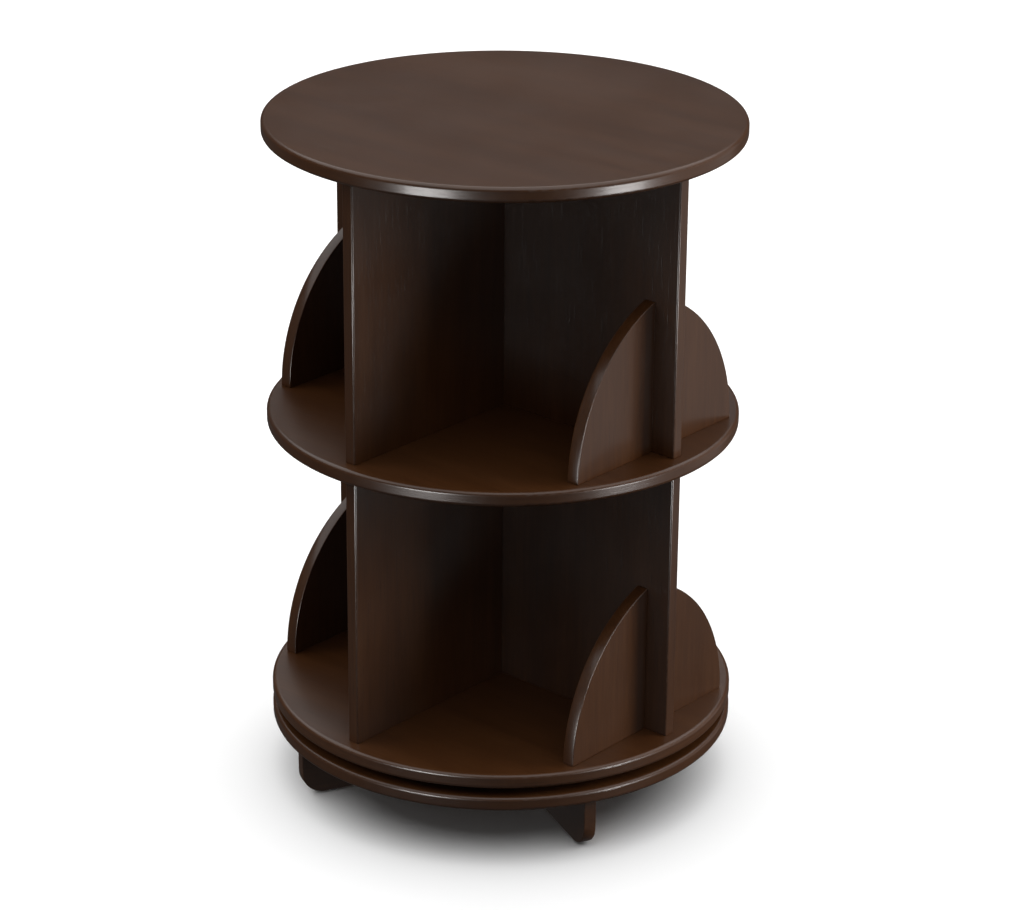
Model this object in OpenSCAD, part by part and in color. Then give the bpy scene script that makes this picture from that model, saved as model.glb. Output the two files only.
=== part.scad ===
// Two-tier revolving bookcase. A rack of three round shelves and crossed
// upright panels turns on a flat ball bearing, above a round base disc on
// two crossed foot beams. Millimetres, +Z up. The origin is on the floor,
// on the axis that the rack turns about. The rack's full-width panels lie
// along X and its half-width panels along Y.

/* [Discs] */
// Diameter of the top disc, the shelves and the base disc
disc_d = 406; // [404:2:420]
// Thickness of the discs
disc_t = 13; // [13:1:16]
// Radius of the rounded edges of the discs
rim_r = 3.5; // [2:0.5:5]

/* [Tiers] */
// Clear height of each tier
tier_clear = 243; // [220:1:300]

/* [Uprights] */
// Thickness of the panels and of the bookends
board_t = 11; // [10:1:13]
// Distance from the axis to the outer end of each panel
panel_reach = 191; // [186:1:196]
// Radius of the eased corners at the panel ends
ease_r = 1.5; // [0.5:0.5:3]

/* [Bookends] */
// Distance from the axis to the outer face of each bookend
bookend_face = 168; // [160:1:170]
// Distance from the full-width panel's middle to a bookend's tip
bookend_reach = 101; // [85:1:102]
// Height of a bookend where it meets the full-width panel
bookend_h = 132; // [115:1:160]

/* [Base] */
// Height of the base disc's underside above the floor
foot_h = 53; // [50:1:70]
// Distance from the axis to the end of each foot beam
foot_reach = 191; // [186:1:200]
// Thickness of the foot beams
foot_t = 11; // [10:1:14]
// Radius of the lower outer corners of the foot beams
foot_round = 21; // [12:1:24]
// Turn of the base under the rack, in degrees
base_turn = -25.5; // [-45:0.5:45]
// Thickness of the glides under the foot beams
glide_t = 2; // [1.5:0.5:3]

/* [Turntable] */
// Gap between the base disc and the bottom shelf
bearing_gap = 8; // [8:1:10]
// Width of the square bearing plates
plate_w = 140; // [136:1:142]
// Radius of the circle that the balls run on
race_r = 48; // [44:1:50]
// Number of balls
balls = 20; // [12:1:24]

/* [Fasteners] */
// Diameter of the wooden dowels
dowel_d = 6; // [5:0.5:6]
// Shank diameter of the wood screws
screw_d = 4; // [3:0.5:4]

/* [Hidden] */
$fn = 96;

// Radial gap of dowels and screws in their holes, and of a lap joint
snug = 0.05;
// Overshoot of a cutting tool past the face that it opens
eps = 0.5;

// Heights of the main faces
base_z = foot_h;
base_top = base_z + disc_t;
bottom_z = base_top + bearing_gap;
lower_floor = bottom_z + disc_t;
middle_z = lower_floor + tier_clear;
upper_floor = middle_z + disc_t;
top_z = upper_floor + tier_clear;

// Distances along each panel to its dowels and screws
fix_at = [60, 150];
// How far a dowel enters the end or the edge of a board
dowel_deep = 17;
// How far the top dowels enter the top disc
top_dowel_deep = 9;
// How far the bookend dowels enter a shelf
shelf_dowel_deep = 8;
// Heights above the shelf of the dowels that join the half panels
cross_at = [60, 190];
// Heights above the shelf of the dowels at the side of a bookend
side_at = [35, 90];
// How far the side dowels enter a bookend
side_dowel_deep = 15;
// Distances of the foot dowels of a bookend from the full-width panel's middle
foot_dowel_at = [30, 75];
// Middle of a bookend's thickness
bookend_x = bookend_face - board_t / 2;

// The bookend's arc stands square on the shelf, and its centre is this far
// behind the middle of the full-width panel
arc_back = (pow(bookend_h, 2) - pow(bookend_reach, 2) + pow(board_t / 2, 2))
    / (2 * bookend_reach - board_t);
arc_r = bookend_reach + arc_back;

// Wood screws: length, head and cross recess
screw_l = 38;
head_d = 2 * screw_d;
head_h = screw_d / 2;
recess_w = screw_d / 5;
recess_l = screw_d;
recess_deep = screw_d / 4;

// Turntable bearing
sheet_t = 1;
plate_corner_r = 8;
plate_hole_r = 30;
ball_r = 2.9;
groove_r = ball_r + snug;
race_half_w = 5;
race_gap = 2;
cage_t = 1;
cage_play = 0.15;
bearing_mid = base_top + bearing_gap / 2;
plate_screw_at = 58;
plate_screw_l = 10;
pan_h = 1.6;
access_r = 6;
// Angle from a foot beam to the screwdriver access hole
access_turn = 20;

// Foot glides
glide_d = 9;
glide_nail_d = 2;
glide_nail_l = 12;
glide_at = foot_reach - foot_round - glide_d;
beam_h = foot_h - glide_t;
beam_fix_at = [85, 150];

wood = [0.21, 0.13, 0.10];
beech = [0.80, 0.66, 0.46];
steel = [0.72, 0.72, 0.74];
nylon = [0.86, 0.85, 0.80];
black = [0.07, 0.07, 0.07];

// Disc with rounded edges, standing on z = 0
module round_disc() {
    r = disc_d / 2;
    rotate_extrude() {
        square([r - rim_r, disc_t]);
        translate([0, rim_r]) square([r, disc_t - 2 * rim_r]);
        for (z = [rim_r, disc_t - rim_r]) translate([r - rim_r, z]) circle(r = rim_r);
    }
}

// Upright bar as high as a tier from x = x0 to x = x1, eased at the corners
// of its x1 end
module eased_half_bar(x0, x1) {
    linear_extrude(height = tier_clear) {
        translate([x0, -board_t / 2]) square([x1 - ease_r - x0, board_t]);
        translate([x0, ease_r - board_t / 2]) square([x1 - x0, board_t - 2 * ease_r]);
        for (s = [-1, 1])
            translate([x1 - ease_r, s * (board_t / 2 - ease_r)]) circle(r = ease_r);
    }
}

// A dowel hole or a dowel along +Z
module peg(d, l) {
    cylinder(d = d, h = l);
}

module dowel(l) {
    translate([0, 0, snug]) peg(dowel_d, l - 2 * snug);
}

module dowel_hole(l) {
    peg(dowel_d + 2 * snug, l);
}

// Countersunk wood screw: head face at z = 0, shank along +Z
module wood_screw() {
    difference() {
        union() {
            cylinder(d1 = head_d, d2 = screw_d, h = head_h);
            cylinder(d = screw_d, h = screw_l - screw_d);
            translate([0, 0, screw_l - screw_d]) cylinder(d1 = screw_d, d2 = recess_w, h = screw_d);
        }
        cross_recess();
    }
}

module wood_screw_hole() {
    translate([0, 0, -eps]) cylinder(d = head_d + 2 * snug, h = eps);
    cylinder(d1 = head_d + 2 * snug, d2 = screw_d + 2 * snug, h = head_h);
    cylinder(d = screw_d + 2 * snug, h = screw_l + snug);
}

// Pan-head screw: underside of the head at z = 0, shank along +Z
module pan_screw() {
    difference() {
        union() {
            translate([0, 0, -pan_h]) cylinder(d1 = head_d - pan_h, d2 = head_d, h = pan_h / 2);
            translate([0, 0, -pan_h / 2]) cylinder(d = head_d, h = pan_h / 2);
            cylinder(d = screw_d, h = plate_screw_l);
        }
        translate([0, 0, -pan_h]) cross_recess();
    }
}

module pan_screw_hole() {
    translate([0, 0, -eps]) cylinder(d = screw_d + 2 * snug, h = plate_screw_l + eps + snug);
}

module cross_recess() {
    for (a = [0, 90])
        rotate([0, 0, a]) translate([-recess_l / 2, -recess_w / 2, -eps])
            cube([recess_l, recess_w, recess_deep + eps]);
}

// Places its children over the outer stretches of both panel lines
module at_panel_fixings() {
    for (a = [0:90:270])
        rotate([0, 0, a]) for (x = fix_at) translate([x, 0, 0]) children();
}

// Places its children at the four bookends of a tier, first of all at the
// right back one
module at_bookends() {
    for (sx = [0, 1], sy = [0, 1])
        mirror([sx, 0, 0]) mirror([0, sy, 0]) children();
}

module at_bookend_feet() {
    at_bookends() for (y = foot_dowel_at) translate([bookend_x, y, 0]) children();
}

module at_plate_corners() {
    for (a = [45:90:315])
        rotate([0, 0, a]) translate([plate_screw_at * sqrt(2), 0, 0]) children();
}

module at_beam_fixings() {
    rotate([0, 0, base_turn]) for (a = [0:90:270])
        rotate([0, 0, a]) for (x = beam_fix_at) translate([x, 0, 0]) children();
}

module top_disc() {
    color(wood) difference() {
        translate([0, 0, top_z]) round_disc();
        translate([0, 0, top_z - eps]) at_panel_fixings() dowel_hole(top_dowel_deep + eps);
    }
}

// Full-width panel on the shelf face at z0
module full_panel(z0, lower_fix) {
    color(wood) difference() {
        translate([0, 0, z0]) for (s = [0, 1]) mirror([s, 0, 0]) eased_half_bar(0, panel_reach);
        edge_holes(z0, lower_fix);
        for (z = cross_at) translate([0, 0, z0 + z]) side_hole();
        for (x = [-bookend_x, bookend_x], z = side_at) translate([x, 0, z0 + z]) side_hole();
    }
}

// Dowel holes in the upper edge of a panel, and holes for dowels or for
// screws in its lower edge
module edge_holes(z0, lower_fix) {
    translate([0, 0, z0 + tier_clear - dowel_deep]) at_panel_fixings() dowel_hole(dowel_deep + eps);
    if (lower_fix == "dowels")
        translate([0, 0, z0 - eps]) at_panel_fixings() dowel_hole(dowel_deep + eps);
    if (lower_fix == "screws")
        translate([0, 0, bottom_z]) at_panel_fixings() wood_screw_hole();
}

// Hole for a dowel right through a full-width panel
module side_hole() {
    translate([0, board_t, 0]) rotate([90, 0, 0]) dowel_hole(2 * board_t);
}

// Half-width panel along +Y or, with s = -1, along -Y
module half_panel(s, z0, lower_fix) {
    color(wood) difference() {
        rotate([0, 0, 90 * s]) translate([0, 0, z0]) eased_half_bar(board_t / 2, panel_reach);
        edge_holes(z0, lower_fix);
        for (z = cross_at) translate([0, 0, z0 + z]) rotate([-90 * s, 0, 0])
            dowel_hole(board_t / 2 + dowel_deep + snug);
    }
}

module middle_shelf() {
    color(wood) difference() {
        translate([0, 0, middle_z]) round_disc();
        translate([0, 0, middle_z - eps]) at_panel_fixings() dowel_hole(disc_t + 2 * eps);
        translate([0, 0, upper_floor - shelf_dowel_deep]) at_bookend_feet()
            dowel_hole(shelf_dowel_deep + eps);
    }
}

module bottom_shelf() {
    color(wood) difference() {
        translate([0, 0, bottom_z]) round_disc();
        translate([0, 0, bottom_z]) at_panel_fixings() wood_screw_hole();
        translate([0, 0, lower_floor - shelf_dowel_deep]) at_bookend_feet()
            dowel_hole(shelf_dowel_deep + eps);
        translate([0, 0, bottom_z]) at_plate_corners() pan_screw_hole();
    }
}

// Quarter-round bookend on the shelf face at z0, at the side (sx, sy)
module bookend(sx, sy, z0) {
    color(wood) difference() {
        to_side(sx, sy) translate([bookend_face, 0, z0]) rotate([90, 0, -90])
            mirror([1, 0, 0]) linear_extrude(height = board_t) intersection() {
                translate([-arc_back, 0]) circle(r = arc_r);
                translate([board_t / 2, 0]) square([bookend_reach, arc_r]);
            }
        to_side(sx, sy) {
            for (z = side_at) translate([bookend_x, 0, z0 + z]) rotate([-90, 0, 0])
                dowel_hole(board_t / 2 + side_dowel_deep + snug);
            for (y = foot_dowel_at) translate([bookend_x, y, z0 - eps])
                dowel_hole(dowel_deep + eps);
        }
    }
}

// Mirrors its children from the right back to the side (sx, sy)
module to_side(sx, sy) {
    mirror([sx < 0 ? 1 : 0, 0, 0]) mirror([0, sy < 0 ? 1 : 0, 0]) children();
}

module top_dowels() {
    color(beech) translate([0, 0, top_z - dowel_deep]) at_panel_fixings()
        dowel(dowel_deep + top_dowel_deep);
}

module middle_dowels() {
    color(beech) translate([0, 0, middle_z - dowel_deep]) at_panel_fixings()
        dowel(disc_t + 2 * dowel_deep);
}

module cross_dowels() {
    l = board_t + 2 * dowel_deep;
    color(beech) for (z0 = [lower_floor, upper_floor], z = cross_at)
        translate([0, l / 2, z0 + z]) rotate([90, 0, 0]) dowel(l);
}

module bookend_side_dowels() {
    l = board_t + 2 * side_dowel_deep;
    color(beech) for (z0 = [lower_floor, upper_floor], x = [-bookend_x, bookend_x], z = side_at)
        translate([x, l / 2, z0 + z]) rotate([90, 0, 0]) dowel(l);
}

module bookend_foot_dowels() {
    color(beech) for (z0 = [lower_floor, upper_floor])
        translate([0, 0, z0 - shelf_dowel_deep]) at_bookend_feet()
            dowel(shelf_dowel_deep + dowel_deep);
}

module rack_screws() {
    color(steel) translate([0, 0, bottom_z]) at_panel_fixings() wood_screw();
}

// Bearing plate with its race ring: sheet on z = 0, race towards +Z
module bearing_plate() {
    half = plate_w / 2;
    race_h = bearing_gap / 2 - race_gap / 2;
    difference() {
        union() {
            linear_extrude(height = sheet_t) {
                square([plate_w - 2 * plate_corner_r, plate_w], center = true);
                square([plate_w, plate_w - 2 * plate_corner_r], center = true);
                for (sx = [-1, 1], sy = [-1, 1])
                    translate([sx, sy] * (half - plate_corner_r)) circle(r = plate_corner_r);
            }
            cylinder(r = race_r + race_half_w, h = race_h);
        }
        translate([0, 0, -eps]) cylinder(r = plate_hole_r, h = sheet_t + 2 * eps);
        translate([0, 0, sheet_t]) cylinder(r = race_r - race_half_w, h = race_h);
        translate([0, 0, bearing_gap / 2]) rotate_extrude()
            translate([race_r, 0]) circle(r = groove_r);
        translate([0, 0, -eps]) at_plate_corners()
            cylinder(d = screw_d + 2 * snug, h = sheet_t + 2 * eps);
    }
}

module bearing_upper_plate() {
    color(steel) translate([0, 0, bottom_z]) rotate([180, 0, 0]) bearing_plate();
}

module bearing_lower_plate() {
    color(steel) translate([0, 0, base_top]) rotate([0, 0, base_turn]) bearing_plate();
}

module bearing_upper_screws() {
    color(steel) translate([0, 0, bottom_z - sheet_t]) at_plate_corners() pan_screw();
}

module bearing_lower_screws() {
    color(steel) translate([0, 0, base_top + sheet_t]) rotate([0, 0, base_turn])
        at_plate_corners() rotate([180, 0, 0]) pan_screw();
}

module at_balls() {
    for (i = [0:balls - 1])
        rotate([0, 0, i * 360 / balls]) translate([race_r, 0, bearing_mid]) children();
}

module ball_cage() {
    half_w = race_half_w - 2 * cage_play;
    color(nylon) difference() {
        translate([0, 0, bearing_mid - cage_t / 2]) cylinder(r = race_r + half_w, h = cage_t);
        translate([0, 0, bearing_mid - cage_t]) cylinder(r = race_r - half_w, h = 2 * cage_t);
        translate([0, 0, -cage_t]) at_balls() cylinder(r = ball_r + cage_play, h = 2 * cage_t);
    }
}

module bearing_balls() {
    color(steel) at_balls() sphere(r = ball_r);
}

module base_disc() {
    color(wood) difference() {
        translate([0, 0, base_z]) round_disc();
        translate([0, 0, base_top]) at_beam_fixings() rotate([180, 0, 0]) wood_screw_hole();
        translate([0, 0, base_top]) rotate([0, 0, base_turn]) at_plate_corners()
            rotate([180, 0, 0]) pan_screw_hole();
        rotate([0, 0, base_turn + access_turn])
            translate([plate_screw_at * sqrt(2), 0, base_z - eps])
                cylinder(r = access_r, h = disc_t + 2 * eps);
    }
}

// Side view of a foot beam
module beam_outline() {
    straight = foot_reach - foot_round;
    translate([-straight, 0]) square([2 * straight, beam_h]);
    translate([-foot_reach, foot_round]) square([2 * foot_reach, beam_h - foot_round]);
    for (s = [-1, 1]) translate([s * straight, foot_round]) circle(r = foot_round);
}

// Foot beam turned by a, notched over half its height from notch_z up so
// that the two beams lap over each other at the middle
module foot_beam(a, notch_z) {
    lap = foot_t + 2 * snug;
    color(wood) difference() {
        rotate([0, 0, base_turn + a]) difference() {
            translate([0, foot_t / 2, glide_t]) rotate([90, 0, 0])
                linear_extrude(height = foot_t) beam_outline();
            translate([-lap / 2, -foot_t, notch_z]) cube([lap, 2 * foot_t, beam_h / 2 + snug + eps]);
            for (s = [-1, 1]) translate([s * glide_at, 0, glide_t - eps])
                peg(glide_nail_d + 2 * snug, glide_nail_l + eps + snug);
        }
        translate([0, 0, base_top]) at_beam_fixings() rotate([180, 0, 0]) wood_screw_hole();
    }
}

module foot_beam_front_to_back() {
    foot_beam(0, glide_t - eps);
}

module foot_beam_side_to_side() {
    foot_beam(90, glide_t + beam_h / 2 - snug);
}

module foot_screws() {
    color(steel) translate([0, 0, base_top]) at_beam_fixings() rotate([180, 0, 0]) wood_screw();
}

module foot_glides() {
    color(black) rotate([0, 0, base_turn]) for (a = [0:90:270])
        rotate([0, 0, a]) translate([glide_at, 0, 0]) {
            cylinder(d1 = glide_d - glide_t, d2 = glide_d, h = glide_t / 2);
            translate([0, 0, glide_t / 2]) cylinder(d = glide_d, h = glide_t / 2);
            peg(glide_nail_d, glide_t + glide_nail_l);
        }
}

top_disc();
full_panel(upper_floor, "dowels");  // upper_full_panel
half_panel(-1, upper_floor, "dowels");  // upper_half_panel_front
half_panel(1, upper_floor, "dowels");  // upper_half_panel_back
middle_shelf();
full_panel(lower_floor, "screws");  // lower_full_panel
half_panel(-1, lower_floor, "screws");  // lower_half_panel_front
half_panel(1, lower_floor, "screws");  // lower_half_panel_back
bottom_shelf();
bookend(1, -1, upper_floor);  // upper_bookend_right_front
bookend(1, 1, upper_floor);  // upper_bookend_right_back
bookend(-1, -1, upper_floor);  // upper_bookend_left_front
bookend(-1, 1, upper_floor);  // upper_bookend_left_back
bookend(1, -1, lower_floor);  // lower_bookend_right_front
bookend(1, 1, lower_floor);  // lower_bookend_right_back
bookend(-1, -1, lower_floor);  // lower_bookend_left_front
bookend(-1, 1, lower_floor);  // lower_bookend_left_back
top_dowels();
middle_dowels();
cross_dowels();
bookend_side_dowels();
bookend_foot_dowels();
rack_screws();
bearing_upper_plate();
bearing_upper_screws();
ball_cage();
bearing_balls();
bearing_lower_plate();
bearing_lower_screws();
base_disc();
foot_beam_front_to_back();
foot_beam_side_to_side();
foot_screws();
foot_glides();
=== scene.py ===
"""Looks of a two-tier revolving bookcase: espresso-stained boards under satin
lacquer, a zinc-plated ball bearing and beech dowels, on a plain studio floor."""

import math

import bpy
from mathutils import Matrix, Vector


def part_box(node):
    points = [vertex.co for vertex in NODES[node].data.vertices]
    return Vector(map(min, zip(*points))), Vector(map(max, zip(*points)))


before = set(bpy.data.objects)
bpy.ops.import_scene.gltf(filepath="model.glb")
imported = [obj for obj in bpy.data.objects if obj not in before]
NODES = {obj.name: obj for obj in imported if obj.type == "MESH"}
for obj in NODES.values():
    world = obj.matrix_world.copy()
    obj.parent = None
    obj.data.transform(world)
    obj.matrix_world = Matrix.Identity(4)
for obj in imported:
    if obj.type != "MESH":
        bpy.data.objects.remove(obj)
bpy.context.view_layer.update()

# Camera: where it stands, seen from the turning axis, and how it is aimed
CAMERA_AZIMUTH = math.radians(-49.07)
CAMERA_DISTANCE = 2.586
CAMERA_ABOVE_TOP = 0.757
CAMERA_PITCH = math.radians(22.35)
CAMERA_PAN = math.radians(0.18)
CAMERA_ROLL = math.radians(0.48)
CAMERA_LENS = 113.4
CAMERA_CLIP_END = 60.0
SENSOR_WIDTH = 36.0

# Floor
FLOOR_SIZE = 24.0
FLOOR_COLOUR = (0.90, 0.90, 0.90, 1.0)
FLOOR_ROUGHNESS = 0.9
FLOOR_SPECULAR = 0.1

# The room's brightness: seen by the camera, falling on the rack, and mirrored
ROOM_COLOUR = (1.0, 1.0, 1.0, 1.0)
BACKDROP = 1.0
AMBIENT = 0.20
REFLECTED_ROOM = 0.06

# Lights: what the softboxes are aimed at, and the patch of sky overhead
RACK_MIDDLE = (0.0, 0.0, 0.35)
FLOOR_MIDDLE = (0.0, 0.0, 0.0)
CEILING_HEIGHT = 4.0
CEILING_AZIMUTH = 170.0
CEILING_LEAN = math.radians(6.0)
CEILING_WIDTH = math.radians(110.0)

# Sizes of the CAD model that the looks depend on
TOP_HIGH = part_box("top_disc")[1]
DISC_RADIUS = TOP_HIGH.x
RIM_ROUND = 0.0035
RIM_START = DISC_RADIUS - RIM_ROUND
BASE_TURN = math.radians(-25.5)

# Easing of the boards' edges
PANEL_EDGE = 0.0006
BOARD_EDGE = 0.0008
EDGE_SEGMENTS = 3
SHARP_FROM = math.radians(40.0)
FLAT_WITHIN = math.radians(0.5)
WELD_DISTANCE = 0.000005

# Range that holds most of a noise texture's values
NOISE_LOW = 0.3
NOISE_HIGH = 0.7

# Sockets of a Mix node that mixes colours or vectors
MIX_A = 6
MIX_B = 7
MIX_RESULT = 2

# Stretch of the noise in X, Y and Z. The stained wood's grain and the brushing
# run along X, and the dowels' grain along Z
STREAK_STRETCH = (0.06, 1.0, 1.0)
PORE_STRETCH = (0.035, 1.0, 1.0)
BRUSH_STRETCH = (0.04, 1.0, 1.0)
BEECH_STRETCH = (1.0, 1.0, 0.05)
FLECK_STRETCH = (1.0, 1.0, 0.2)

# Steps in the noise from one board to the next, so that no two look the same
PANEL_STEP = (0.731, 0.379, 0.517)
BOOKEND_STEP = (0.613, 0.457, 0.291)
DISC_STEP = (0.413, 0.677, 0.271)
DISC_SEED = 1.0
PANEL_SEED = 5.0
BOOKEND_SEED = 11.0
FOOT_SEED = 21.0

# Stained wood: linear colours, with the noise value at which each one stands
STAIN = ((0.32, (0.035, 0.0120, 0.0036, 1.0)),
         (0.50, (0.046, 0.0165, 0.0050, 1.0)),
         (0.68, (0.059, 0.0225, 0.0075, 1.0)))
STAIN_WORN = (0.100, 0.0450, 0.0200, 1.0)
PORE_COLOUR = (0.018, 0.0065, 0.0025, 1.0)
BROAD_SHARE = 0.55
FINE_SHARE = 0.45
FINE_RELIEF = 0.4
PORE_DARKENS = 0.35
WEAR_LIGHTENS = 0.30
WEAR_DULLS = 0.10

# Roughness of the lacquer. Below about 0.28 the render's denoiser draws
# contour lines where the roughness varies
GLOSS_SMOOTH = 0.29
GLOSS_HAZY = 0.34

# Worn edges of boards: how square the normal is on an eased edge and on a face
EDGE_SQUARE = 0.80
FACE_SQUARE = 0.99
# The normal's part across a bookend, on its curved rim and on an eased edge
RIM_ACROSS = 0.05
EDGE_ACROSS = 0.3
# Worn crest of a disc, in shares of the rounding counted inwards from the rim
CREST_START = 0.6
CREST_END = 0.2
CREST_WEAR = 0.15

# Hardware: linear colours, with the noise value at which each one stands
ZINC = ((0.30, (0.46, 0.46, 0.47, 1.0)),
        (0.55, (0.60, 0.60, 0.58, 1.0)),
        (0.75, (0.66, 0.62, 0.50, 1.0)))
STEEL = ((NOISE_LOW, (0.68, 0.69, 0.70, 1.0)), (NOISE_HIGH, (0.80, 0.81, 0.82, 1.0)))
NYLON = ((NOISE_LOW, (0.60, 0.57, 0.48, 1.0)), (NOISE_HIGH, (0.72, 0.70, 0.62, 1.0)))
PLASTIC = ((0.35, (0.012, 0.012, 0.012, 1.0)), (0.75, (0.045, 0.043, 0.040, 1.0)))
BEECH = ((NOISE_LOW, (0.46, 0.29, 0.15, 1.0)), (NOISE_HIGH, (0.66, 0.46, 0.27, 1.0)))
BEECH_FLECK = (0.36, 0.19, 0.09, 1.0)
FLECK_DARKENS = 0.5


# ---------------------------------------------------------------- node help

class Tree:
    """A material's node tree with short calls for the nodes used here."""

    def __init__(self, name):
        self.material = bpy.data.materials.new(name)
        self.material.use_nodes = True
        self.nodes = self.material.node_tree.nodes
        self.links = self.material.node_tree.links
        self.nodes.clear()
        self.shader = self.nodes.new("ShaderNodeBsdfPrincipled")
        output = self.nodes.new("ShaderNodeOutputMaterial")
        self.links.new(self.shader.outputs[0], output.inputs["Surface"])

    def feed(self, socket, value):
        """Links value to socket, or sets it there if it is a constant."""
        if isinstance(value, bpy.types.NodeSocket):
            self.links.new(value, socket)
        else:
            socket.default_value = value

    def calc(self, operation, a, b=0.0):
        node = self.nodes.new("ShaderNodeMath")
        node.operation = operation
        for socket, value in zip(node.inputs, (a, b)):
            self.feed(socket, value)
        return node.outputs[0]

    def plus(self, a, b):
        return self.calc("ADD", a, b)

    def minus(self, a, b):
        return self.calc("SUBTRACT", a, b)

    def times(self, a, b):
        return self.calc("MULTIPLY", a, b)

    def vector(self, operation, a, b=(0.0, 0.0, 0.0)):
        node = self.nodes.new("ShaderNodeVectorMath")
        node.operation = operation
        self.feed(node.inputs[0], a)
        self.feed(node.inputs[1], b)
        return node.outputs[0]

    def place(self):
        return self.nodes.new("ShaderNodeTexCoord").outputs["Object"]

    def geometry(self, output):
        return self.nodes.new("ShaderNodeNewGeometry").outputs[output]

    def split(self, vector):
        node = self.nodes.new("ShaderNodeSeparateXYZ")
        self.feed(node.inputs[0], vector)
        return node.outputs

    def join(self, x, y, z):
        node = self.nodes.new("ShaderNodeCombineXYZ")
        for socket, value in zip(node.inputs, (x, y, z)):
            self.feed(socket, value)
        return node.outputs[0]

    def spin(self, vector, angle):
        """vector turned about Z by angle."""
        node = self.nodes.new("ShaderNodeVectorRotate")
        node.rotation_type = "Z_AXIS"
        node.inputs["Angle"].default_value = angle
        self.feed(node.inputs["Vector"], vector)
        return node.outputs[0]

    def to_world(self, vector):
        """Direction in the piece's own axes turned into the world's."""
        node = self.nodes.new("ShaderNodeVectorTransform")
        node.vector_type = "VECTOR"
        node.convert_from = "OBJECT"
        node.convert_to = "WORLD"
        self.feed(node.inputs[0], vector)
        return node.outputs[0]

    def noise(self, vector, scale, detail=4.0, roughness=0.55, distortion=0.0):
        node = self.nodes.new("ShaderNodeTexNoise")
        self.feed(node.inputs["Vector"], vector)
        node.inputs["Scale"].default_value = scale
        node.inputs["Detail"].default_value = detail
        node.inputs["Roughness"].default_value = roughness
        node.inputs["Distortion"].default_value = distortion
        return node.outputs[0]

    def ramp(self, value, stops):
        """Colour at value between stops of (position, colour)."""
        node = self.nodes.new("ShaderNodeValToRGB")
        elements = node.color_ramp.elements
        for stop in stops[1:-1]:
            elements.new(stop[0])
        for element, (position, colour) in zip(elements, stops):
            element.position = position
            element.color = colour
        self.feed(node.inputs[0], value)
        return node.outputs[0]

    def remap(self, value, low, high, to_low=0.0, to_high=1.0):
        """Smooth step from to_low at low up, or down, to to_high at high."""
        node = self.nodes.new("ShaderNodeMapRange")
        node.interpolation_type = "SMOOTHSTEP"
        for socket, number in zip(node.inputs, (value, low, high, to_low, to_high)):
            self.feed(socket, number)
        return node.outputs[0]

    def spread(self, noise, to_low, to_high):
        """A noise's usual range drawn out from to_low to to_high."""
        return self.remap(noise, NOISE_LOW, NOISE_HIGH, to_low, to_high)

    def mix(self, factor, a, b):
        node = self.nodes.new("ShaderNodeMix")
        node.data_type = "RGBA"
        self.feed(node.inputs["Factor"], factor)
        self.feed(node.inputs[MIX_A], a)
        self.feed(node.inputs[MIX_B], b)
        return node.outputs[MIX_RESULT]

    def bump(self, height, distance, strength, facing=None):
        """Relief of height on the normal facing, or on the mesh's own."""
        node = self.nodes.new("ShaderNodeBump")
        node.inputs["Distance"].default_value = distance
        node.inputs["Strength"].default_value = strength
        self.feed(node.inputs["Height"], height)
        if facing is not None:
            self.links.new(facing, node.inputs["Normal"])
        return node.outputs[0]

    def set(self, **sockets):
        """Feeds the shader's sockets. Base_Color stands for Base Color."""
        for name, value in sockets.items():
            self.feed(self.shader.inputs[name.replace("_", " ")], value)


def shift(tree, place, seed, step):
    """place moved by seed steps, to another part of the noise."""
    return tree.vector("ADD", place, tuple(seed * part for part in step))


# ---------------------------------------------------------------- wood

def wood_layers(tree, along, worn, facing=None):
    """Colours and relief of stained wood. along is a place vector whose X runs
    with the grain; worn is 1 where the stain is rubbed thin; facing is a
    normal to use in place of the mesh's own."""
    streaks = tree.vector("MULTIPLY", along, STREAK_STRETCH)
    broad = tree.noise(streaks, scale=30.0, roughness=0.5, distortion=0.4)
    fine = tree.noise(streaks, scale=330.0, roughness=0.6)
    figure = tree.plus(tree.times(broad, BROAD_SHARE), tree.times(fine, FINE_SHARE))
    pore_place = tree.vector("MULTIPLY", along, PORE_STRETCH)
    pore_noise = tree.noise(pore_place, scale=900.0, detail=2.0, roughness=0.5)
    pores = tree.remap(pore_noise, low=0.60, high=0.70)
    chips = tree.noise(along, scale=140.0, detail=3.0, roughness=0.6)
    worn_patch = tree.times(worn, tree.remap(chips, low=0.42, high=0.66))
    pored = tree.mix(tree.times(pores, PORE_DARKENS), tree.ramp(figure, STAIN), PORE_COLOUR)
    colour = tree.mix(tree.times(worn_patch, WEAR_LIGHTENS), pored, STAIN_WORN)
    haze = tree.noise(along, scale=11.0, detail=3.0, roughness=0.5)
    gloss = tree.spread(haze, GLOSS_SMOOTH, GLOSS_HAZY)
    roughness = tree.plus(gloss, tree.times(worn_patch, WEAR_DULLS))
    relief = tree.minus(tree.times(fine, FINE_RELIEF), pores)
    grain = tree.bump(relief, distance=0.00007, strength=0.35, facing=facing)
    orange_peel = tree.noise(along, scale=420.0, detail=2.0, roughness=0.5)
    normal = tree.bump(orange_peel, distance=0.00004, strength=0.20, facing=grain)
    tree.set(Base_Color=colour, Roughness=roughness, Normal=normal)
    tree.set(Coat_Weight=0.20, Coat_Roughness=0.16, Coat_IOR=1.45, Specular_IOR_Level=0.40)


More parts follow.
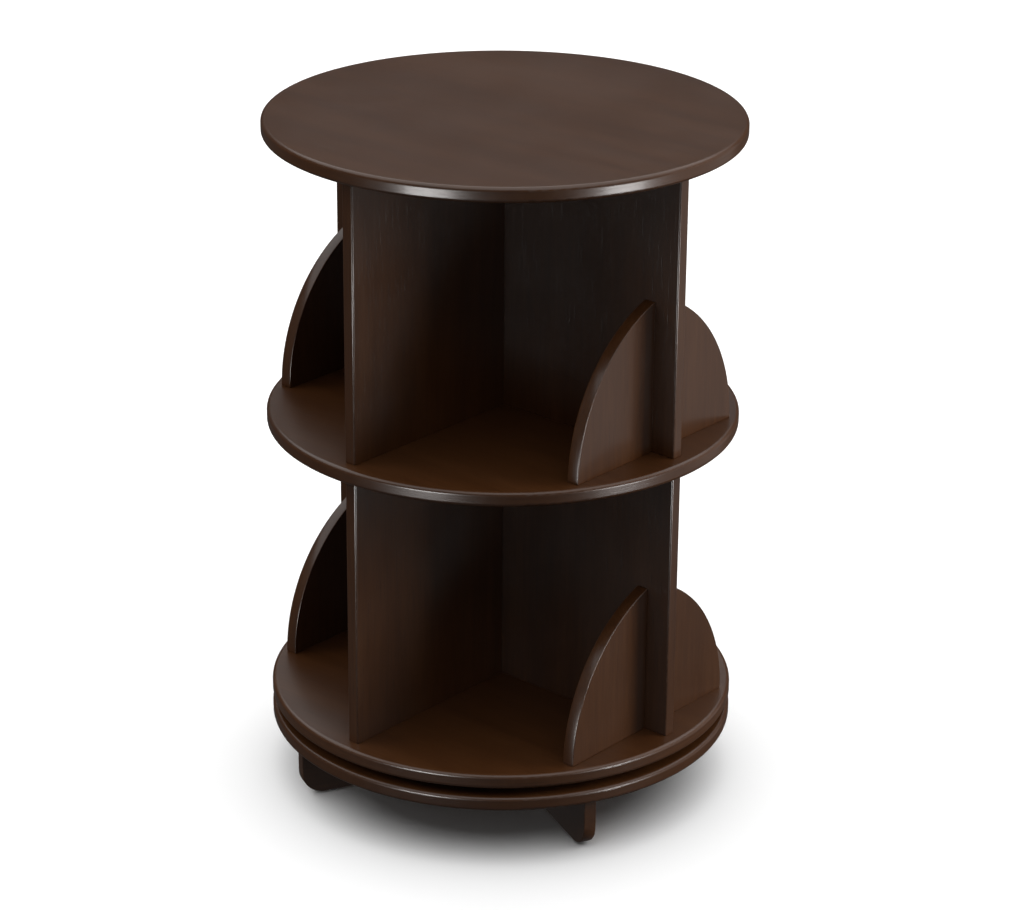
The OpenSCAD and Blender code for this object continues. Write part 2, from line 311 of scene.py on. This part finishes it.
def panel_wood(name, seed, turn=0.0, upright=True):
    """Flat board, turned about Z by turn, with the grain along Z or, if it
    isn't upright, along its length. It is worn where its eased edges are skew."""
    tree = Tree(name)
    place = tree.place()
    facing = tree.geometry("True Normal")
    if turn:
        place = tree.spin(place, -turn)
        facing = tree.spin(facing, -turn)
    x, y, z = tree.split(place)
    along = tree.join(z, x, y) if upright else place
    sides = tree.split(tree.vector("ABSOLUTE", facing))
    squareness = tree.calc("MAXIMUM", sides[0], tree.calc("MAXIMUM", sides[1], sides[2]))
    worn = tree.remap(squareness, EDGE_SQUARE, FACE_SQUARE, to_low=1.0, to_high=0.0)
    wood_layers(tree, shift(tree, along, seed, PANEL_STEP), worn)
    return tree.material


def bookend_wood(name, seed):
    """Quarter-round board with upright grain. Only its long edges are worn,
    where its face turns into its curved rim."""
    tree = Tree(name)
    x, y, z = tree.split(tree.place())
    along = tree.join(z, y, x)
    side = tree.calc("ABSOLUTE", tree.split(tree.geometry("True Normal"))[0])
    off_rim = tree.remap(side, RIM_ACROSS, EDGE_ACROSS)
    off_face = tree.remap(side, EDGE_SQUARE, FACE_SQUARE, to_low=1.0, to_high=0.0)
    wood_layers(tree, shift(tree, along, seed, BOOKEND_STEP), tree.times(off_rim, off_face))
    return tree.material


def rim_facing(tree, place, reach, on_rim, low, high):
    """Normal of a disc between the heights low and high: true on its rounded
    rim, where the mesh is coarse, and the mesh's own elsewhere."""
    x, y, z = tree.split(place)
    out = tree.calc("DIVIDE", tree.minus(reach, RIM_START), reach)
    core = tree.calc("MINIMUM", tree.calc("MAXIMUM", z, low + RIM_ROUND), high - RIM_ROUND)
    away = tree.join(tree.times(x, out), tree.times(y, out), tree.minus(z, core))
    return tree.vector("NORMALIZE", tree.mix(on_rim, tree.geometry("Normal"), tree.to_world(away)))


def disc_wood(name, seed, low, high):
    """Round board between the heights low and high, with straight grain over
    its faces and a lipping whose grain runs round the rim."""
    tree = Tree(name)
    place = tree.place()
    x, y, z = tree.split(place)
    reach = tree.calc("SQRT", tree.plus(tree.times(x, x), tree.times(y, y)))
    around = tree.times(tree.calc("ARCTAN2", y, x), DISC_RADIUS)
    on_rim = tree.calc("GREATER_THAN", reach, RIM_START)
    lipping = tree.join(around, reach, z)
    along = tree.mix(on_rim, shift(tree, place, seed, DISC_STEP), lipping)
    worn = tree.remap(reach, DISC_RADIUS - RIM_ROUND * CREST_START,
                      DISC_RADIUS - RIM_ROUND * CREST_END, to_high=CREST_WEAR)
    wood_layers(tree, along, worn, rim_facing(tree, place, reach, on_rim, low, high))
    return tree.material


# ---------------------------------------------------------------- hardware

def zinc(name, brushing):
    """Zinc-plated steel: pale grey with a faint yellow passivation bloom, and
    lines of the strength brushing."""
    tree = Tree(name)
    place = tree.place()
    bloom = tree.noise(place, scale=55.0, roughness=0.6, distortion=0.4)
    line_place = tree.vector("MULTIPLY", place, BRUSH_STRETCH)
    lines = tree.noise(line_place, scale=1400.0, detail=2.0, roughness=0.5)
    tree.set(Base_Color=tree.ramp(bloom, ZINC), Metallic=1.0,
             Roughness=tree.spread(bloom, to_low=0.24, to_high=0.42),
             Normal=tree.bump(lines, distance=0.00006, strength=brushing))
    return tree.material


def ball_steel():
    tree = Tree("polished_steel")
    scuffs = tree.noise(tree.place(), scale=900.0, detail=3.0, roughness=0.6)
    tree.set(Base_Color=tree.ramp(scuffs, STEEL), Metallic=1.0,
             Roughness=tree.spread(scuffs, to_low=0.06, to_high=0.16))
    return tree.material


def nylon():
    tree = Tree("nylon_cage")
    clouds = tree.noise(tree.place(), scale=90.0, roughness=0.6)
    grit = tree.noise(tree.place(), scale=1500.0, detail=2.0)
    tree.set(Base_Color=tree.ramp(clouds, NYLON), Subsurface_Weight=0.12,
             Roughness=tree.spread(clouds, to_low=0.38, to_high=0.55),
             Normal=tree.bump(grit, distance=0.00004, strength=0.4))
    return tree.material


def glide_plastic():
    tree = Tree("black_glide_plastic")
    scuffs = tree.noise(tree.place(), scale=160.0, roughness=0.65)
    grit = tree.noise(tree.place(), scale=1200.0, detail=3.0, roughness=0.6)
    tree.set(Base_Color=tree.ramp(scuffs, PLASTIC),
             Roughness=tree.spread(scuffs, to_low=0.45, to_high=0.70),
             Normal=tree.bump(grit, distance=0.00006, strength=0.5))
    return tree.material


def beech():
    """Raw beech with upright streaks and short dark flecks."""
    tree = Tree("raw_beech")
    place = tree.place()
    streak_place = tree.vector("MULTIPLY", place, BEECH_STRETCH)
    streaks = tree.noise(streak_place, scale=500.0, roughness=0.6)
    fleck_place = tree.vector("MULTIPLY", place, FLECK_STRETCH)
    flecks = tree.remap(tree.noise(fleck_place, scale=1500.0, detail=2.0), low=0.58, high=0.68)
    colour = tree.mix(tree.times(flecks, FLECK_DARKENS), tree.ramp(streaks, BEECH), BEECH_FLECK)
    tree.set(Base_Color=colour, Roughness=tree.spread(streaks, to_low=0.60, to_high=0.75),
             Normal=tree.bump(streaks, distance=0.0001, strength=0.5))
    return tree.material


# ---------------------------------------------------------------- pieces

def ease_edges(piece, width):
    """Rounds the sharp edges of a board. Each flat face is made whole first,
    because a bevel folds its thin triangles over each other."""
    weld = piece.modifiers.new("weld", "WELD")
    weld.merge_threshold = WELD_DISTANCE
    flat = piece.modifiers.new("whole_flat_faces", "DECIMATE")
    flat.decimate_type = "DISSOLVE"
    flat.angle_limit = FLAT_WITHIN
    bevel = piece.modifiers.new("eased_edges", "BEVEL")
    bevel.width = width
    bevel.segments = EDGE_SEGMENTS
    bevel.limit_method = "ANGLE"
    bevel.angle_limit = SHARP_FROM
    bevel.use_clamp_overlap = False
    bevel.harden_normals = True


def dress(node, material, edge=None):
    """Gives a CAD node its material and, with edge, eased edges of that width."""
    piece = NODES[node]
    piece.data.materials.clear()
    piece.data.materials.append(material)
    if edge:
        ease_edges(piece, edge)


def dress_discs():
    for seed, node in enumerate(("top_disc", "middle_shelf", "bottom_shelf", "base_disc")):
        heights = [corner[2] for corner in NODES[node].bound_box]
        dress(node, disc_wood(node + "_wood", seed + DISC_SEED, min(heights), max(heights)))


def dress_panels():
    panels = [n for n in NODES if n.endswith("_panel") or "_half_panel_" in n]
    for seed, node in enumerate(sorted(panels)):
        dress(node, panel_wood(node + "_wood", seed + PANEL_SEED), PANEL_EDGE)


def dress_bookends():
    for seed, node in enumerate(sorted(n for n in NODES if "_bookend_" in n)):
        dress(node, bookend_wood(node + "_wood", seed + BOOKEND_SEED), BOARD_EDGE)


def dress_feet():
    first = panel_wood("foot_wood_a", FOOT_SEED, turn=BASE_TURN, upright=False)
    second = panel_wood("foot_wood_b", FOOT_SEED + 1, turn=BASE_TURN + math.pi / 2, upright=False)
    dress("foot_beam_front_to_back", first, BOARD_EDGE)
    dress("foot_beam_side_to_side", second, BOARD_EDGE)
    dress("foot_glides", glide_plastic())


def dress_hardware():
    plate = zinc("zinc_plate", brushing=0.5)
    screw = zinc("zinc_screw", brushing=0.2)
    wood = beech()
    for node in ("bearing_upper_plate", "bearing_lower_plate"):
        dress(node, plate)
    for node in ("rack_screws", "foot_screws", "bearing_upper_screws", "bearing_lower_screws"):
        dress(node, screw)
    for node in sorted(n for n in NODES if n.endswith("_dowels")):
        dress(node, wood)
    dress("bearing_balls", ball_steel())
    dress("ball_cage", nylon())


# ---------------------------------------------------------------- studio

def polar(azimuth, distance, height):
    return Vector((distance * math.cos(azimuth), distance * math.sin(azimuth), height))


def make_camera():
    data = bpy.data.cameras.new("camera")
    data.lens = CAMERA_LENS
    data.sensor_width = SENSOR_WIDTH
    data.sensor_fit = "HORIZONTAL"
    data.clip_end = CAMERA_CLIP_END
    camera = bpy.data.objects.new("camera", data)
    bpy.context.scene.collection.objects.link(camera)
    heading = CAMERA_AZIMUTH + math.pi - CAMERA_PAN
    ahead = polar(heading, math.cos(CAMERA_PITCH), -math.sin(CAMERA_PITCH))
    level = Vector((math.sin(heading), -math.cos(heading), 0.0))
    upright = level.cross(ahead)
    right = level * math.cos(CAMERA_ROLL) + upright * math.sin(CAMERA_ROLL)
    up = right.cross(ahead)
    turn = Matrix((right, up, -ahead)).transposed().to_4x4()
    place = polar(CAMERA_AZIMUTH, CAMERA_DISTANCE, TOP_HIGH.z + CAMERA_ABOVE_TOP)
    camera.matrix_world = Matrix.Translation(place) @ turn
    bpy.context.scene.camera = camera


def add_light(name, kind, power, azimuth, distance, height, aim):
    """Light at azimuth degrees from the camera, left negative, aimed at aim."""
    data = bpy.data.lights.new(name, kind)
    data.energy = power
    light = bpy.data.objects.new(name, data)
    bpy.context.scene.collection.objects.link(light)
    light.location = polar(CAMERA_AZIMUTH + math.radians(azimuth), distance, height)
    light.rotation_euler = (Vector(aim) - light.location).to_track_quat("-Z", "Y").to_euler()
    light.visible_camera = False
    return light


def softbox(name, lit, azimuth, distance, height, size, power, glossy=False):
    """Rectangular light that falls only on the collection lit: as plain light,
    or, if it is glossy, only as a reflection."""
    light = add_light(name, "AREA", power, azimuth, distance, height, RACK_MIDDLE)
    light.data.shape = "RECTANGLE"
    light.data.size, light.data.size_y = size
    light.visible_glossy = glossy
    light.visible_diffuse = not glossy
    light.light_linking.receiver_collection = lit


def ceiling(name, power):
    """Even light from a wide round patch of sky, a little off the vertical."""
    lean = CEILING_HEIGHT * math.tan(CEILING_LEAN)
    light = add_light(name, "SUN", power, CEILING_AZIMUTH, lean, CEILING_HEIGHT, FLOOR_MIDDLE)
    light.data.angle = CEILING_WIDTH
    return light


def make_floor():
    """Pale floor that is clear when it is looked at from below, and that the
    wood neither mirrors nor takes light from."""
    mesh = bpy.data.meshes.new("studio_floor")
    half = FLOOR_SIZE / 2
    corners = [(-half, -half, 0.0), (half, -half, 0.0), (half, half, 0.0), (-half, half, 0.0)]
    mesh.from_pydata(corners, [], [(0, 1, 2, 3)])
    floor = bpy.data.objects.new("studio_floor", mesh)
    bpy.context.scene.collection.objects.link(floor)
    tree = Tree("studio_floor_paint")
    tree.set(Base_Color=FLOOR_COLOUR, Roughness=FLOOR_ROUGHNESS,
             Specular_IOR_Level=FLOOR_SPECULAR,
             Alpha=tree.minus(1.0, tree.geometry("Backfacing")))
    mesh.materials.append(tree.material)
    floor.visible_glossy = False
    floor.visible_diffuse = False
    return floor


def make_world():
    """Grey room that the camera sees as a white backdrop, and that looks
    darker in reflections."""
    world = bpy.data.worlds.new("studio")
    world.use_nodes = True
    nodes, links = world.node_tree.nodes, world.node_tree.links
    path = nodes.new("ShaderNodeLightPath").outputs
    mirrored = nodes.new("ShaderNodeMix")
    mirrored.inputs["A"].default_value = AMBIENT
    mirrored.inputs["B"].default_value = REFLECTED_ROOM
    links.new(path["Is Glossy Ray"], mirrored.inputs["Factor"])
    seen = nodes.new("ShaderNodeMix")
    seen.inputs["B"].default_value = BACKDROP
    links.new(mirrored.outputs["Result"], seen.inputs["A"])
    links.new(path["Is Camera Ray"], seen.inputs["Factor"])
    background = nodes["Background"].inputs
    background["Color"].default_value = ROOM_COLOUR
    links.new(seen.outputs["Result"], background["Strength"])
    bpy.context.scene.world = world


def collect(name, pieces):
    """New collection of pieces, for a light that falls on them alone."""
    group = bpy.data.collections.new(name)
    for piece in pieces:
        group.objects.link(piece)
    return group


def make_light(floor):
    """Soft daylight from above and softboxes round the rack. The two strips
    and the glow give the highlights along its rims and edges."""
    ceiling("ceiling", power=3.05)
    floor_wash = ceiling("floor_wash", power=1.20)
    floor_wash.light_linking.receiver_collection = collect("washed_floor", [floor])
    rack = collect("lit_by_softboxes", NODES.values())
    softbox("right_key", rack, azimuth=86.0, distance=2.5, height=0.9,
            size=(1.2, 1.2), power=62.0)
    softbox("left_fill", rack, azimuth=-85.0, distance=2.6, height=1.2,
            size=(1.2, 1.2), power=22.0)
    softbox("back_fill", rack, azimuth=190.0, distance=2.6, height=0.6,
            size=(1.6, 1.0), power=55.0)
    softbox("left_strip", rack, azimuth=-33.0, distance=1.25, height=0.16,
            size=(0.44, 0.28), power=9.5, glossy=True)
    softbox("right_strip", rack, azimuth=53.0, distance=1.25, height=0.16,
            size=(0.40, 0.28), power=9.4, glossy=True)
    softbox("right_glow", rack, azimuth=97.0, distance=1.8, height=0.5,
            size=(2.2, 2.1), power=6.0, glossy=True)


def main():
    make_camera()
    dress_discs()
    dress_panels()
    dress_bookends()
    dress_feet()
    dress_hardware()
    make_world()
    make_light(make_floor())
    bpy.context.scene.view_settings.view_transform = "Standard"


main()
